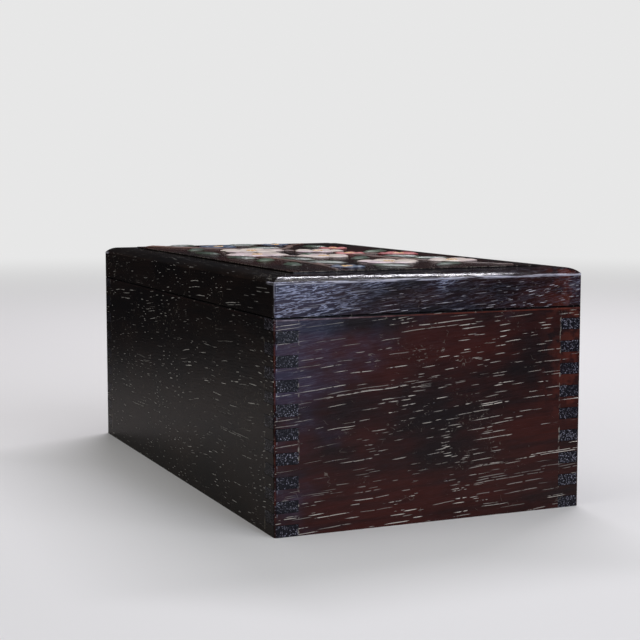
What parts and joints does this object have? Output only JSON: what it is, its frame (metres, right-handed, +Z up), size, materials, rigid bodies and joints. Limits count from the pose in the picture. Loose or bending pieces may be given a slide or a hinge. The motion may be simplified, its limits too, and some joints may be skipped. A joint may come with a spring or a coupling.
{
  "type": "ink stick and stone box",
  "caption": "Finger-jointed hardwood box with a framed, floral-inlaid lift-off lid; it holds an inkstone below a lift-out tray of ink sticks.",
  "frame": {"origin": "middle of the base, on the surface the box stands on", "axes": "+X along the box, towards the end with the small compartment and the ink well; +Y to the back; +Z up"},
  "size_m": [0.195, 0.1094, 0.0812],
  "materials": {
    "case_wood": "satin",
    "lid_wood": "satin",
    "panel_wood": "satin",
    "lining_wood": "satin",
    "tray_wood": "satin",
    "white_inlay": "polished",
    "pink_inlay": "polished",
    "blue_inlay": "polished",
    "green_inlay": "polished",
    "branch_inlay": "polished",
    "centre_inlay": "polished",
    "ink": "satin",
    "gilding": "satin",
    "inkstone": "matte"
  },
  "bodies": {
    "case": {"side_board_front": "case_wood", "side_board_back": "case_wood", "end_board_left": "case_wood", "end_board_right": "case_wood", "bottom_panel": "lining_wood", "lining_front": "lining_wood", "lining_back": "lining_wood", "lining_left": "lining_wood", "lining_right": "lining_wood", "tray_ledge_left": "lining_wood", "tray_ledge_right": "lining_wood", "stone_fillet_front": "lining_wood", "stone_fillet_back": "lining_wood", "stone_batten_left": "lining_wood", "stone_batten_right": "lining_wood"},
    "lid": {"lid_rail_front": "lid_wood", "lid_rail_back": "lid_wood", "lid_rail_left": "lid_wood", "lid_rail_right": "lid_wood", "lid_panel": "panel_wood", "inlay_white_blossoms": "white_inlay", "inlay_pink_blossoms": "pink_inlay", "inlay_blue_blossoms": "blue_inlay", "inlay_leaves": "green_inlay", "inlay_branches": "branch_inlay", "inlay_centres": "centre_inlay"},
    "tray": {"tray_wall_front": "tray_wood", "tray_wall_back": "tray_wood", "tray_end_left": "tray_wood", "tray_end_right": "tray_wood", "tray_bottom": "tray_wood", "tray_cross_divider": "tray_wood", "tray_divider_front": "tray_wood", "tray_divider_back": "tray_wood"},
    "front_stick": {"ink_stick_front": "ink"},
    "middle_stick": {"ink_stick_middle": "ink"},
    "back_stick": {"ink_stick_back": "ink"},
    "stone": {"inkstone": "inkstone"}
  },
  "joints": [
    {"name": "lid_lift", "type": "slide", "parent": "case", "child": "lid", "axis": [0, 0, 1], "range_m": [0, 0.2]},
    {"name": "tray_lift", "type": "slide", "parent": "case", "child": "tray", "axis": [0, 0, 1], "range_m": [0, 0.14]},
    {"name": "front_stick_lift", "type": "slide", "parent": "tray", "child": "front_stick", "axis": [0, 0, 1], "range_m": [0, 0.04]},
    {"name": "middle_stick_lift", "type": "slide", "parent": "tray", "child": "middle_stick", "axis": [0, 0, 1], "range_m": [0, 0.04]},
    {"name": "back_stick_lift", "type": "slide", "parent": "tray", "child": "back_stick", "axis": [0, 0, 1], "range_m": [0, 0.04]},
    {"name": "stone_lift", "type": "slide", "parent": "case", "child": "stone", "axis": [0, 0, 1], "range_m": [0, 0.07]}
  ],
  "couplings": [
    {"joint": "tray_lift", "follows": "lid_lift", "ratio": 0.7},
    {"joint": "front_stick_lift", "follows": "lid_lift", "ratio": 0.2},
    {"joint": "middle_stick_lift", "follows": "lid_lift", "ratio": 0.2},
    {"joint": "back_stick_lift", "follows": "lid_lift", "ratio": 0.2},
    {"joint": "stone_lift", "follows": "lid_lift", "ratio": 0.35}
  ]
}
